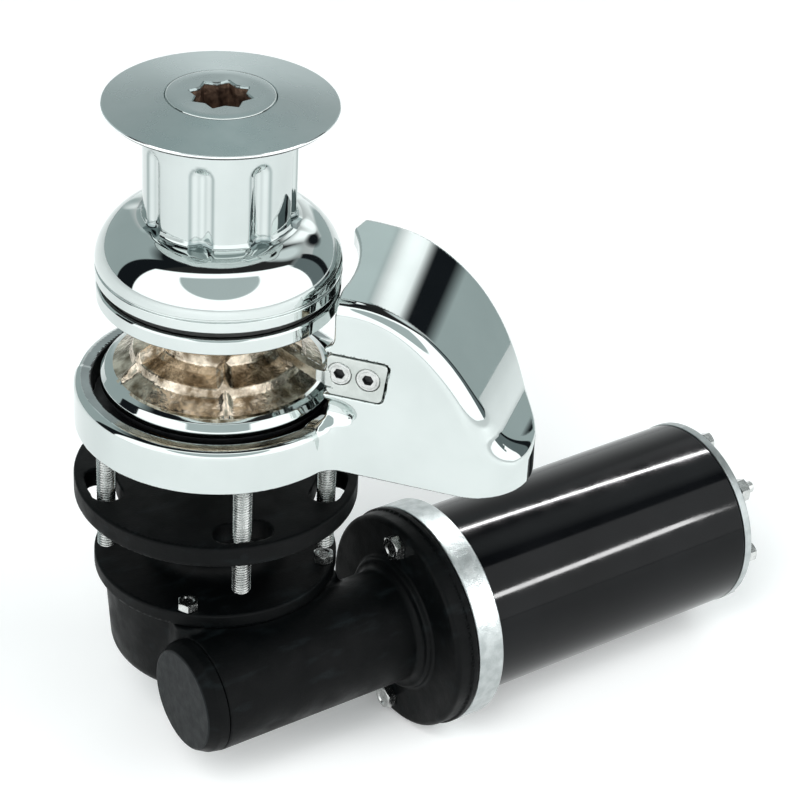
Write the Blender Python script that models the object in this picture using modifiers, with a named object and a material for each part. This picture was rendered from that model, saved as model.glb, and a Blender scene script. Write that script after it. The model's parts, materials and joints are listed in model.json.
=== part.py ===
"""Vertical anchor windlass: a chromed drum and chain gypsy above the deck, driven through a worm
gearbox by a motor that lies below it. Millimetres are turned to metres by MM. The origin is on the
drum's axis at the deck, +Z is up, and +X runs along the worm shaft towards the motor."""

import math

import bmesh
import bpy
from mathutils import Matrix

MM = 0.001
GAP = 0.3
FINE = 48
COARSE = 24

# Above the deck
BASE_RADIUS, BASE_HEIGHT, BASE_FLOOR = 59.5, 20.0, 9.0
WELL_RADIUS, WELL_TOP_RADIUS = 52.0, 56.5
HOOD_TURN = math.radians(-52.0)
HOOD_NEAR, HOOD_FAR, HOOD_NOSE, HOOD_MIDDLE = -21.3, 41.0, 135.0, 3.7
HOOD_PEAK, HOOD_PEAK_ALONG = 80.0, 62.0
HOOD_RUN, HOOD_FALL = 85.0, 170.0
HOOD_FOOT, HOOD_WALL, HOOD_NEAR_WALL = 17.0, 5.0, 7.0
BARREL_RADIUS, BARREL_TOP, BARREL_FOOT = 30.8, 136.0, 97.0
BELL_RADIUS, BELL_EDGE, BELL_BULGE = 50.1, 76.5, 1.7
DRUM_TOP_RADIUS, DRUM_TOP, DRUM_CROWN = 47.3, 145.0, 148.5
NUT_RADIUS, NUT_SEAT, NUT_TOP = 21.9, 142.7, 148.8
SOCKET_SIDE, SOCKET_FLOOR = 17.46, 136.8
GYPSY_RADIUS, GYPSY_TOP, POCKETS, RIB_ANGLE = 49.8, 66.3, 5, 27.5
SHAFT_RADIUS, SHAFT_BORE = 9.0, 9.4
STUD_CIRCLE, STUD_ANGLES = 48.0, (165.0, -108.5, -47.0, 72.0)
STUD_RADIUS, STUD_TIP = 4.0, -56.0
SLOT_CIRCLE, SLOT_HALF_WIDTH, SLOT_SWING = 49.4, 6.6, 7.0

# Below the deck
FLANGE_RADIUS, FLANGE_TOP, FLANGE_BOTTOM = 60.2, -25.7, -35.0
NECK_RADIUS = 26.0
LID_RADIUS, LID_TOP, LID_BOTTOM = 52.1, -65.5, -72.2
LID_BOLT_CIRCLE, LID_BOLT_ANGLES = 47.5, (45.0, 135.0, 225.0, 315.0)
POT_RADIUS, POT_INNER, POT_BOTTOM, POT_FLOOR = 47.5, 41.3, -114.3, -105.5
WORM_Y, WORM_Z = -50.0, -98.45
TUBE_RADIUS, WORM_BORE = 25.1, 17.5
MODULE, TEETH, WORM_RATIO_STARTS = 2.0, 38, 1
WORM_PITCH_RADIUS = 12.0
TIE_ANGLES = (2.0, 92.0, 182.0, 272.0)
TIE_CIRCLE, TERMINAL_CIRCLE = 38.0, 37.2
CASE_START, CASE_END, CASE_RADIUS, CASE_BORE = 84.7, 225.0, 42.6, 40.1


def clear_scene():
    for found in list(bpy.data.objects):
        bpy.data.objects.remove(found, do_unlink=True)


def new_collection(name):
    made = bpy.data.collections.new(name)
    bpy.context.scene.collection.children.link(made)
    return made


def make_material(name, colour, roughness, metallic):
    made = bpy.data.materials.new(name)
    made.use_nodes = True
    shader = made.node_tree.nodes["Principled BSDF"]
    shader.inputs["Base Color"].default_value = (*colour, 1.0)
    shader.inputs["Roughness"].default_value = roughness
    shader.inputs["Metallic"].default_value = metallic
    return made


def make_empty(name, location=(0, 0, 0), rotation=(0, 0, 0), parent=None):
    made = bpy.data.objects.new(name, None)
    made.location = [value * MM for value in location]
    made.rotation_euler = rotation
    made.parent = parent
    PARTS.objects.link(made)
    return made


def link(name, mesh, finish, parent, location=(0, 0, 0), rotation=(0, 0, 0)):
    """A new object in the parts' collection or, with no finish, a hidden cutter."""
    made = bpy.data.objects.new(name, mesh)
    made.location = [value * MM for value in location]
    made.rotation_euler = rotation
    made.parent = parent
    if finish is None:
        CUTTERS.objects.link(made)
        made.hide_render = True
        made.display_type = "WIRE"
    else:
        PARTS.objects.link(made)
        mesh.materials.append(finish)
    return made


def boolean(target, operation, other):
    modifier = target.modifiers.new(f"{operation}_{other.name}"[:60], "BOOLEAN")
    modifier.operation = operation
    modifier.solver = "EXACT"
    modifier.object = other


def cut(target, *cutters):
    for cutter in cutters:
        boolean(target, "DIFFERENCE", cutter)


def join(target, *others):
    for other in others:
        boolean(target, "UNION", other)


def lathe(name, profile, finish, parent=None, steps=FINE):
    """Turns (radius, height) points about local Z. The points run down the outside; a profile that
    doesn't start on the axis is closed into a ring."""
    mesh = bpy.data.meshes.new(name)
    points = [(radius * MM, 0.0, height * MM) for radius, height in profile]
    edges = [(i, i + 1) for i in range(len(points) - 1)]
    if profile[0][0] > 0:
        edges.append((len(points) - 1, 0))
    mesh.from_pydata(points, edges, [])
    made = link(name, mesh, finish, parent)
    screw = made.modifiers.new("Turn", "SCREW")
    screw.axis = "Z"
    screw.angle = math.tau
    screw.steps = steps
    screw.render_steps = steps
    screw.use_merge_vertices = True
    screw.merge_threshold = 0.00001
    screw.use_smooth_shade = True
    return made


def ring(name, inner, outer, low, high, finish, parent=None, steps=COARSE):
    profile = [(inner, high), (outer, high), (outer, low), (inner, low)]
    return lathe(name, profile, finish, parent, steps)


def prism(name, places, radius, low, high, finish=None, parent=None, sides=COARSE, turn=0.0):
    """Upright cylinders or prisms, one at each (x, y) place, in one mesh."""
    shape = bmesh.new()
    for x, y in places:
        made = bmesh.ops.create_cone(
            shape, cap_ends=True, segments=sides,
            radius1=radius * MM, radius2=radius * MM, depth=(high - low) * MM,
        )
        bmesh.ops.rotate(
            shape, verts=made["verts"], cent=(0, 0, 0),
            matrix=Matrix.Rotation(turn, 3, "Z"),
        )
        bmesh.ops.translate(
            shape, verts=made["verts"], vec=(x * MM, y * MM, (low + high) / 2 * MM)
        )
    mesh = bpy.data.meshes.new(name)
    shape.to_mesh(mesh)
    shape.free()
    return link(name, mesh, finish, parent)


def block(name, low, high, finish=None, parent=None, rotation=(0, 0, 0)):
    """A box between two corners, in its parent's frame."""
    shape = bmesh.new()
    bmesh.ops.create_cube(shape, size=1.0)
    size = [(b - a) * MM for a, b in zip(low, high)]
    bmesh.ops.scale(shape, verts=shape.verts, vec=size)
    middle = [(a + b) / 2 * MM for a, b in zip(low, high)]
    bmesh.ops.translate(shape, verts=shape.verts, vec=middle)
    mesh = bpy.data.meshes.new(name)
    shape.to_mesh(mesh)
    shape.free()
    return link(name, mesh, finish, parent, rotation=rotation)


def slab(name, outline, low, high, finish=None, parent=None, rotation=(0, 0, 0), stand=None):
    """A flat outline of (x, y) points made solid from low to high. stand="XZ" reads the points as
    (x, z) and low and high as y."""
    curve = bpy.data.curves.new(name, "CURVE")
    curve.dimensions = "2D"
    curve.fill_mode = "BOTH"
    curve.extrude = (high - low) / 2 * MM
    spline = curve.splines.new("POLY")
    spline.points.add(len(outline) - 1)
    for point, (x, y) in zip(spline.points, outline):
        point.co = (x * MM, y * MM, 0.0, 1.0)
    spline.use_cyclic_u = True
    guide = bpy.data.objects.new(name + "_outline", curve)
    bpy.context.scene.collection.objects.link(guide)
    bpy.context.view_layer.update()
    graph = bpy.context.evaluated_depsgraph_get()
    mesh = bpy.data.meshes.new_from_object(guide.evaluated_get(graph))
    bpy.data.objects.remove(guide)
    shape = bmesh.new()
    shape.from_mesh(mesh)
    bmesh.ops.remove_doubles(shape, verts=shape.verts, dist=0.000001)
    bmesh.ops.translate(shape, verts=shape.verts, vec=(0, 0, (low + high) / 2 * MM))
    if stand == "XZ":
        for vertex in shape.verts:
            vertex.co = (vertex.co.x, vertex.co.z, vertex.co.y)
    shape.normal_update()
    bmesh.ops.recalc_face_normals(shape, faces=shape.faces)
    shape.to_mesh(mesh)
    shape.free()
    mesh.materials.clear()
    return link(name, mesh, finish, parent, rotation=rotation)


def arc(centre, radius, start, end, count):
    """Points on a circle, from start to end in degrees. radius may be a pair of half-axes."""
    across, up = radius if isinstance(radius, tuple) else (radius, radius)
    angles = [math.radians(start + (end - start) * i / count) for i in range(count + 1)]
    return [
        (centre[0] + across * math.cos(a), centre[1] + up * math.sin(a)) for a in angles
    ]


def polar(radius, degrees):
    angle = math.radians(degrees)
    return (radius * math.cos(angle), radius * math.sin(angle))


def motor_polar(radius, degrees):
    """A place in the motor's frame, whose local Z is world X. Degrees run from +Y towards +Z."""
    angle = math.radians(degrees)
    return (-radius * math.sin(angle), radius * math.cos(angle))


def hex_bolt(name, place, seat, head, across_flats, shank, length, finish, parent=None, up=1):
    """A hex head standing on seat, with its shank going the other way. up=-1 turns it over."""
    x, y = place
    low, high = sorted((seat, seat + up * head))
    bolt = prism(name, [place], across_flats / math.sqrt(3), low, high, finish, parent, 6)
    low, high = sorted((seat + up * head / 2, seat - up * length))
    join(bolt, prism(name + "_shank", [place], shank, low, high, None, parent, 12))
    return bolt


# ---------------------------------------------------------------- above the deck


def hood_outline(inset_near, inset_far):
    """The hood from above: straight sides and a nose made of two arcs."""
    near = HOOD_NEAR + inset_near
    far = HOOD_FAR - inset_far
    nose = HOOD_NOSE - inset_far
    near_radius = HOOD_MIDDLE - near
    far_radius = far - HOOD_MIDDLE
    points = [(30.0, near)]
    points += arc((nose - near_radius, HOOD_MIDDLE), near_radius, -90, 0, 6)
    points += arc((nose - far_radius, HOOD_MIDDLE), far_radius, 0, 90, 6)[1:]
    return points + [(30.0, far)]


def make_base():
    turn = (0, 0, HOOD_TURN)
    base = lathe(
        "base_casting",
        [(14.0, BASE_FLOOR), (WELL_RADIUS, BASE_FLOOR), (WELL_RADIUS, BASE_HEIGHT - 0.8)]
        + [(WELL_RADIUS + 0.8, BASE_HEIGHT), (BASE_RADIUS - 3.0, BASE_HEIGHT)]
        + arc((BASE_RADIUS - 3.0, BASE_HEIGHT - 3.0), 3.0, 60, 0, 2)
        + [(BASE_RADIUS, 0.0), (14.0, 0.0)],
        CHROME,
    )
    outline = hood_outline(0.0, 0.0)
    hood = slab("hood_solid", outline, 0.0, 90.0, None, None, turn)
    side = [(30.0, HOOD_PEAK)]
    centre = (HOOD_PEAK_ALONG, HOOD_PEAK - HOOD_FALL)
    side += arc(centre, (HOOD_RUN, HOOD_FALL), 90, 42, 9)
    side += [(HOOD_NOSE + 5.0, HOOD_FOOT), (HOOD_NOSE + 5.0, -5.0), (30.0, -5.0)]
    boolean(hood, "INTERSECT", slab("hood_side", side, -70.0, 70.0, None, None, turn, "XZ"))
    cavity = slab(
        "pipe_space", hood_outline(HOOD_NEAR_WALL, HOOD_WALL), -2.0, 90.0, None, None, turn
    )
    inside = [(30.0, HOOD_PEAK - HOOD_WALL)]
    inside += arc(centre, (HOOD_RUN - HOOD_WALL, HOOD_FALL - HOOD_WALL), 90, 32, 9)
    inside += [(HOOD_NOSE + 5.0, -6.0), (30.0, -6.0)]
    boolean(cavity, "INTERSECT", slab("pipe_side", inside, -71.0, 71.0, None, None, turn, "XZ"))
    keep = prism("ring_left_whole", [(0, 0)], BASE_RADIUS - 1.0, -3.0, BASE_HEIGHT, sides=FINE)
    cut(cavity, keep)
    well = lathe(
        "gypsy_well",
        [(0.0, 100.0), (WELL_TOP_RADIUS - 3.7, 100.0), (WELL_TOP_RADIUS - 3.7, 57.0)]
        + [(WELL_TOP_RADIUS, 57.0), (WELL_TOP_RADIUS, BASE_HEIGHT + 0.4)]
        + [(WELL_RADIUS - 0.1, BASE_HEIGHT + 0.4), (WELL_RADIUS - 0.1, BASE_FLOOR)]
        + [(0.0, BASE_FLOOR)],
        None,
    )
    edge = prism("hood_mouth", [(-46.1, -25.5)], 105.3, 57.0, 101.0, sides=64)
    edge.rotation_euler = turn
    pocket = block("stripper_pocket", (30, -26, 35.9), (80.9, -17.0, 54.9), rotation=turn)
    join(base, hood)
    cut(base, cavity, well, edge, pocket)
    cut(base, prism("stud_holes", stud_places(), STUD_RADIUS + GAP, -1.0, 7.5, sides=16))
    screws = prism("stripper_screw_holes", screw_places(), 2.8, 10.0, 30.0, sides=12)
    screws.rotation_euler = (math.radians(90), 0, HOOD_TURN)
    cut(base, screws)
    ring("base_bush", SHAFT_BORE, 13.7, 0.6, BASE_FLOOR, BRONZE)
    for number, place in enumerate(stud_places(), 1):
        x, y = place
        stud = lathe(
            f"deck_stud_{number}",
            [(0, 7.0), (STUD_RADIUS, 7.0), (STUD_RADIUS, -40.0), (3.5, -41.0)]
            + [(3.5, STUD_TIP + 1.0), (2.8, STUD_TIP), (0, STUD_TIP)],
            STEEL, steps=12,
        )
        stud.location = (x * MM, y * MM, 0)


def stud_places():
    return [polar(STUD_CIRCLE, angle) for angle in STUD_ANGLES]


def screw_places():
    """The stripper's two screws as (along, height) on the hood's near wall."""
    return [(59.5, 46.5), (71.5, 46.1)]


def make_stripper():
    """A plate let into the hood's near wall, with a finger that reaches to the gypsy's core."""
    turn = (0, 0, HOOD_TURN)
    plate = [(54.0, 36.2), (78.2, 36.2), (80.6, 54.6), (54.0, 54.6)]
    arm = slab("stripper_arm", plate, HOOD_NEAR, HOOD_NEAR + 4.0, STEEL, None, turn, "XZ")
    finger = [(58.0, -21.2), (58.0, -17.4), (49.0, -17.4), (30.0, -4.0), (27.8, -8.5), (45.0, -21.2)]
    join(arm, slab("finger", finger, 41.9, 45.7, None, None, turn))
    for number, (along, height) in enumerate(screw_places(), 1):
        place = [(along, height)]
        seat = -HOOD_NEAR
        upright = (math.radians(90), 0, HOOD_TURN)
        bore = prism(f"screw_bore_{number}", place, 2.8, 10.0, 30.0, sides=16)
        sink = prism(f"screw_sink_{number}", place, 5.3, seat - 2.7, 30.0, sides=16)
        screw = prism(
            f"stripper_screw_{number}", place, 5.0, seat - 2.4, seat, STEEL, None, 16
        )
        shank = prism(f"screw_shank_{number}", place, 2.5, seat - 6.6, seat - 1.2, sides=12)
        hexagon = prism(f"screw_hex_{number}", place, 2.0, seat - 1.6, 30.0, sides=6)
        for made in (bore, sink, screw, shank, hexagon):
            made.rotation_euler = upright
        cut(arm, bore, sink)
        join(screw, shank)
        cut(screw, hexagon)


def bell_curve(count):
    """The bell's outside: a soft quarter superellipse from the barrel's foot to the rim."""
    points = []
    for i in range(count + 1):
        angle = math.pi / 2 * i / count
        out = math.sin(angle) ** (2 / BELL_BULGE)
        down = math.cos(angle) ** (2 / BELL_BULGE) if i < count else 0.0
        radius = BARREL_RADIUS + 0.6 + (BELL_RADIUS - BARREL_RADIUS - 0.6) * out
        points.append((radius, BELL_EDGE + (BARREL_FOOT - BELL_EDGE) * down))
    return points


def make_drum(parent):
    drum = lathe(
        "drum",
        [(22.3, DRUM_CROWN), (DRUM_TOP_RADIUS - 0.7, DRUM_TOP + 0.4)]
        + [(DRUM_TOP_RADIUS, DRUM_TOP - 0.4), (DRUM_TOP_RADIUS, DRUM_TOP - 1.2)]
        + [(45.0, 142.8), (34.0, 140.2), (31.4, 138.6), (BARREL_RADIUS, BARREL_TOP)]
        + [(BARREL_RADIUS, BARREL_FOOT + 0.8)]
        + bell_curve(7)
        + [(BELL_RADIUS, 69.9), (49.5, 69.3), (46.0, 69.3), (43.5, 72.0), (38.0, 84.0)]
        + [(24.0, 94.0), (24.0, 100.0), (SHAFT_BORE, 100.0), (SHAFT_BORE, 125.5)]
        + [(14.9, 125.5), (14.9, NUT_SEAT - 0.1), (22.3, NUT_SEAT - 0.1)],
        CHROME, parent,
    )
    scallops = [polar(36.5, 45.0 * i) for i in range(8)]
    cut(drum, prism("barrel_scallops", scallops, 8.0, 95.5, 131.0, None, parent, 16))
    cut(drum, block("drum_keyway", (0, -3.3, 99.0), (12.3, 3.3, 122.3), None, parent))
    lathe(
        "upper_clutch_cone",
        [(SHAFT_BORE, 68.9), (47.5, 68.9), (47.5, 66.7), (42.0, 66.7), (36.3, 57.6)]
        + [(SHAFT_BORE, 57.6)],
        BRONZE, parent,
    )
    return drum


def make_clutch_nut(parent):
    """The cap nut that squeezes the clutch. A winch handle fits its eight-pointed socket."""
    nut = lathe(
        "clutch_nut",
        [(0, NUT_TOP), (NUT_RADIUS - 0.6, NUT_TOP), (NUT_RADIUS, NUT_TOP - 0.6)]
        + [(NUT_RADIUS, NUT_SEAT + 0.3), (14.5, NUT_SEAT + 0.3), (14.5, 126.0)]
        + [(8.4, 126.0), (8.4, 135.0), (0, 135.0)],
        CHROME, parent, 40,
    )
    corner = SOCKET_SIDE / math.sqrt(2)
    for number, turn in enumerate((0.0, math.pi / 4), 1):
        square = prism(
            f"socket_{number}", [(0, 0)], corner, SOCKET_FLOOR, 160.0, None, parent, 4, turn
        )
        cut(nut, square)


def make_gypsy(parent):
    gypsy = lathe(
        "chain_gypsy",
        [(42.6, GYPSY_TOP), (49.2, GYPSY_TOP), (GYPSY_RADIUS, 65.7), (GYPSY_RADIUS, 59.8)]
        + [(49.2, 59.2), (46.0, 58.6), (36.0, 51.0), (25.0, 47.5), (25.0, 39.5)]
        + [(35.0, 34.5), (36.2, 31.4), (43.0, 27.0), (46.4, 25.8), (48.5, 23.6)]
        + [(48.5, 19.0), (46.8, 17.0), (41.5, 12.5), (40.0, 12.5), (34.3, 21.5)]
        + [(12.4, 21.5), (12.4, 57.2), (36.7, 57.2)],
        NICKEL, parent,
    )
    lower = [(23.0, 22.5), (23.0, 41.0), (42.6, 32.5), (43.6, 26.0), (42.0, 22.5)]
    upper = [(23.0, 55.5), (23.0, 46.0), (40.0, 51.5), (46.8, 58.0), (46.8, 60.5), (36.0, 55.5)]
    for number in range(POCKETS):
        turn = (0, 0, math.radians(RIB_ANGLE + 360.0 / POCKETS * number))
        join(gypsy, slab(f"lower_rib_{number}", lower, -2.5, 2.5, None, parent, turn, "XZ"))
        join(gypsy, slab(f"upper_rib_{number}", upper, -2.5, 2.5, None, parent, turn, "XZ"))
    ring("gypsy_bush", SHAFT_BORE, 12.1, 22.0, 57.0, BRONZE, parent)


def make_shaft(parent):
    shaft = lathe(
        "main_shaft",
        [(0, 134.6), (7.4, 134.6), (8.0, 134.0), (8.0, 125.0), (SHAFT_RADIUS, 124.0)]
        + [(SHAFT_RADIUS, -85.8), (8.2, -85.8), (8.2, -87.7), (SHAFT_RADIUS, -87.7)]
        + [(SHAFT_RADIUS, -111.5), (8.5, -112.0), (0, -112.0)],
        STEEL, parent, COARSE,
    )
    cut(shaft, block("drum_key_seat", (6.7, -3.3, 101.7), (12.0, 3.3, 122.3), None, parent))
    cut(shaft, block("wheel_key_seat", (6.7, -3.3, -103.0), (12.0, 3.3, -88.3), None, parent))
    block("drum_key", (7.0, -3.0, 102.0), (12.0, 3.0, 122.0), STEEL, parent)
    block("wheel_key", (7.0, -3.0, -102.7), (11.6, 3.0, -88.6), STEEL, parent)
    ring("wheel_circlip", 8.5, 11.8, -87.4, -86.1, STEEL, parent)
    lathe(
        "lower_clutch_cone",
        [(SHAFT_BORE, 21.1), (33.6, 21.1), (39.3, 12.6), (39.3, 10.0), (SHAFT_BORE, 10.0)],
        BRONZE, parent,
    )
    make_worm_wheel(parent)


def wheel_outline():
    """Teeth with straight flanks. A gap lies at -90 degrees, where the worm's thread sits."""
    points = []
    for tooth in range(TEETH):
        middle = -math.pi / 2 + (tooth + 0.5) * math.tau / TEETH
        for radius, half in ((35.8, -1.7), (39.4, -0.75), (39.4, 0.75), (35.8, 1.7)):
            angle = middle + half / radius
            points.append((radius * math.cos(angle), radius * math.sin(angle)))
    return points


def make_worm_wheel(parent):
    half_face = 5.0
    wheel = slab(
        "worm_wheel", wheel_outline(), WORM_Z - half_face, WORM_Z + half_face, BRONZE, parent
    )
    lead_slope = MODULE * WORM_RATIO_STARTS / 2 / WORM_PITCH_RADIUS
    twist = lead_slope / (MODULE * TEETH / 2)
    for vertex in wheel.data.vertices:
        x, y, z = vertex.co
        angle = twist * (z / MM - WORM_Z)
        vertex.co.x = x * math.cos(angle) - y * math.sin(angle)
        vertex.co.y = x * math.sin(angle) + y * math.cos(angle)
    join(wheel, prism("wheel_hub", [(0, 0)], 17.0, WORM_Z, -88.2, None, parent))
    cut(wheel, prism("wheel_bore", [(0, 0)], SHAFT_BORE, -120.0, -80.0, None, parent))
    cut(wheel, block("wheel_keyway", (0, -3.3, -120.0), (11.9, 3.3, -80.0), None, parent))


# ---------------------------------------------------------------- below the deck


def arc_slot(angle):
    """A curved slot round a stud, seen from above."""
    half, width = SLOT_SWING, SLOT_HALF_WIDTH
    start = polar(SLOT_CIRCLE, angle - half)
    end = polar(SLOT_CIRCLE, angle + half)
    outer = arc((0, 0), SLOT_CIRCLE + width, angle - half, angle + half, 4)
    inner = arc((0, 0), SLOT_CIRCLE - width, angle + half, angle - half, 4)
    points = outer + arc(end, width, angle + half + 30, angle + half + 150, 3)
    return points + inner + arc(start, width, angle - half + 210, angle - half + 330, 3)


def make_deck_flange():
    """The black casting that clamps the deck from below and closes the gearbox."""
    flange = lathe(
        "deck_flange",
        [(16.0, FLANGE_TOP), (FLANGE_RADIUS - 0.8, FLANGE_TOP), (FLANGE_RADIUS, FLANGE_TOP - 0.8)]
        + [(FLANGE_RADIUS, FLANGE_BOTTOM + 0.8), (FLANGE_RADIUS - 0.8, FLANGE_BOTTOM)]
        + [(NECK_RADIUS + 2.0, FLANGE_BOTTOM), (NECK_RADIUS, FLANGE_BOTTOM - 2.0)]
        + [(NECK_RADIUS, LID_TOP + 5.0), (NECK_RADIUS + 5.0, LID_TOP)]
        + [(LID_RADIUS - 0.8, LID_TOP), (LID_RADIUS, LID_TOP - 0.8)]
        + [(LID_RADIUS, LID_BOTTOM), (20.3, LID_BOTTOM), (20.3, -60.2), (12.0, -60.2)]
        + [(12.0, -33.4), (16.0, -33.4)],
        BLACK,
    )
    for number, angle in enumerate(STUD_ANGLES, 1):
        outline = arc_slot(angle)
        cut(flange, slab(f"stud_slot_{number}", outline, FLANGE_BOTTOM - 3.0, FLANGE_TOP + 3.0))
    cut(flange, prism("lid_bolt_holes", lid_bolt_places(), 2.9, -80.0, -60.0, sides=12))
    ring("shaft_seal", SHAFT_BORE, 15.7, -33.0, -26.2, RUBBER)
    ring("upper_shaft_bearing", SHAFT_BORE, 20.0, -71.8, -60.5, STEEL)
    ring("lower_shaft_bearing", SHAFT_BORE, 17.2, -112.0, -104.4, STEEL)
    for number, place in enumerate(lid_bolt_places(), 1):
        hex_bolt(f"lid_bolt_{number}", place, LID_TOP + GAP, 3.5, 8.0, 2.5, 18.5, STEEL)


def lid_bolt_places():
    return [polar(LID_BOLT_CIRCLE, angle) for angle in LID_BOLT_ANGLES]


def make_gear_case(frame):
    top = LID_BOTTOM - GAP
    case = lathe(
        "gear_case",
        [(0, top), (POT_RADIUS + 0.5, top), (POT_RADIUS - 0.9, POT_BOTTOM + 7.0)]
        + arc((POT_RADIUS - 7.9, POT_BOTTOM + 7.0), 7.0, 0, -90, 4)[1:]
        + [(0, POT_BOTTOM)],
        BLACK,
    )
    join(case, prism("lid_bosses", lid_bolt_places(), 5.6, -86.5, top, sides=16))
    tube = lathe(
        "worm_tube_and_flange",
        [(0, 71.5), (48.9, 71.5), (49.35, 71.0), (49.35, 68.0), (48.3, 67.6), (48.3, 61.8)]
        + [(47.5, 61.0), (30.0, 61.0), (29.0, 57.5), (TUBE_RADIUS, 57.0)]
        + [(TUBE_RADIUS, -37.3), (0, -37.3)],
        None, frame, 40,
    )
    join(case, tube)
    cut(
        case,
        prism("pot_space", [(0, 0)], POT_INNER, POT_FLOOR, -60.0, sides=40),
        prism("lower_bearing_seat", [(0, 0)], 17.5, -112.3, -100.0, sides=COARSE),
        prism("worm_bore", [(0, 0)], WORM_BORE, -50.0, 90.0, None, frame, COARSE),
        prism("end_cap_room", [(0, 0)], TUBE_RADIUS + GAP, -60.0, -37.45, None, frame, 36),
        prism("case_bolt_holes", lid_bolt_places(), 2.9, -85.0, -60.0, sides=12),
        prism("flange_bolt_holes", flange_bolt_places(), 3.4, 50.0, 90.0, None, frame, 12),
    )
    lathe(
        "worm_end_cap",
        [(0, -33.5), (17.2, -33.5), (17.2, -37.6), (24.9, -37.6), (21.9, -45.4)]
        + [(21.2, -46.0), (0, -46.0)],
        BLACK, frame, 40,
    )
    ring("worm_end_bearing", 6.3, 17.2, -32.8, -22.0, STEEL, frame)
    ring("worm_drive_bearing", 6.3, 17.2, 40.0, 50.8, STEEL, frame)
    for number, place in enumerate(flange_bolt_places(), 1):
        hex_bolt(
            f"motor_flange_bolt_{number}", place, 61.0 - GAP, 4.0, 10.0, 3.0, 15.5, STEEL, frame, -1
        )


def flange_bolt_places():
    return [motor_polar(40.0, 90.0), motor_polar(40.0, -90.0)]


def tie_places():
    return [motor_polar(TIE_CIRCLE, angle) for angle in TIE_ANGLES]


def make_motor(frame):
    bell = lathe(
        "motor_front_bell",
        [(31.0, 92.0), (34.8, 92.0), (34.8, 84.4), (48.9, 84.4), (49.35, 83.9)]
        + [(49.35, 72.3), (48.9, 71.8), (8.0, 71.8), (8.0, 74.2), (16.3, 74.2)]
        + [(16.3, 84.4), (31.0, 84.4)],
        ALUMINIUM, frame, 40,
    )
    cut(bell, prism("bell_bolt_holes", flange_bolt_places(), 3.4, 60.0, 77.0, None, frame, 12))
    cut(bell, prism("bell_tie_holes", tie_places(), 2.4, 78.0, 99.0, None, frame, 12))
    ring("motor_front_bearing", 6.4, 16.0, 74.5, 83.5, STEEL, frame)
    ring("motor_case", CASE_BORE, CASE_RADIUS, CASE_START, CASE_END, BLACK_GLOSS, frame, 40)
    cap = lathe(
        "motor_end_cap",
        [(0, 229.3), (42.3, 229.3), (42.9, 228.7), (42.9, 225.3), (34.0, 225.3)]
        + [(34.0, 217.0), (16.3, 217.0), (16.3, 226.5), (0, 226.5)],
        ALUMINIUM, frame, 40,
    )
    terminals = [motor_polar(TERMINAL_CIRCLE, 136.0), motor_polar(TERMINAL_CIRCLE, 226.0)]
    cut(cap, prism("cap_tie_holes", tie_places(), 2.4, 220.0, 240.0, None, frame, 12))
    cut(cap, prism("cap_terminal_holes", terminals, 3.0, 220.0, 240.0, None, frame, 12))
    ring("motor_rear_bearing", 6.4, 16.0, 217.3, 226.2, STEEL, frame)
    for number, place in enumerate(tie_places(), 1):
        hex_bolt(f"tie_bolt_{number}", place, 229.6, 4.0, 8.0, 2.0, 151.0, STEEL, frame)
    for number, place in enumerate(terminals, 1):
        nut = prism(f"terminal_{number}", [place], 5.6, 229.6, 234.4, COPPER, frame, 6)
        join(nut, prism(f"terminal_stud_{number}", [place], 2.6, 205.0, 239.0, None, frame, 12))
    for number, angle in enumerate((47.0, 137.0, 227.0, 317.0), 1):
        outline = arc((0, 0), 39.8, angle - 34, angle + 34, 8)
        outline += arc((0, 0), 33.2, angle + 34, angle - 34, 8)
        slab(f"magnet_{number}", outline, 105.0, 175.0, MAGNET, frame, (0, 0, math.pi / 2))
    ring("brush_plate", 19.0, 34.6, 187.0, 190.5, BLACK_GLOSS, frame)
    block("brush_1", (18.4, -4.0, 191.0), (30.0, 4.0, 198.5), MAGNET, frame)
    block("brush_2", (-30.0, -4.0, 191.0), (-18.4, 4.0, 198.5), MAGNET, frame)


def make_rotor(rotor):
    lathe(
        "armature",
        [(0, 225.0), (5.9, 225.0), (5.9, 203.0), (8.0, 202.6), (8.0, 183.0), (20.0, 182.0)]
        + [(26.5, 178.0), (27.0, 172.0), (32.0, 171.5), (32.0, 109.0), (27.0, 108.5)]
        + [(26.5, 101.0), (20.0, 97.0), (8.0, 96.0), (5.9, 92.0), (5.9, 61.0), (0, 61.0)],
        STEEL, rotor, COARSE,
    )
    ring("commutator", 8.4, 18.0, 184.0, 200.0, COPPER, rotor)
    ring("shaft_coupling", 6.3, 11.0, 54.0, 68.5, STEEL, rotor)
    worm = lathe(
        "worm_shaft",
        [(0, 60.5), (5.9, 60.5), (5.9, 38.0), (9.4, 36.0), (9.4, -20.0), (5.9, -21.5)]
        + [(5.9, -33.0), (0, -33.0)],
        STEEL, rotor, COARSE,
    )
    join(worm, worm_thread(rotor))


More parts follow.
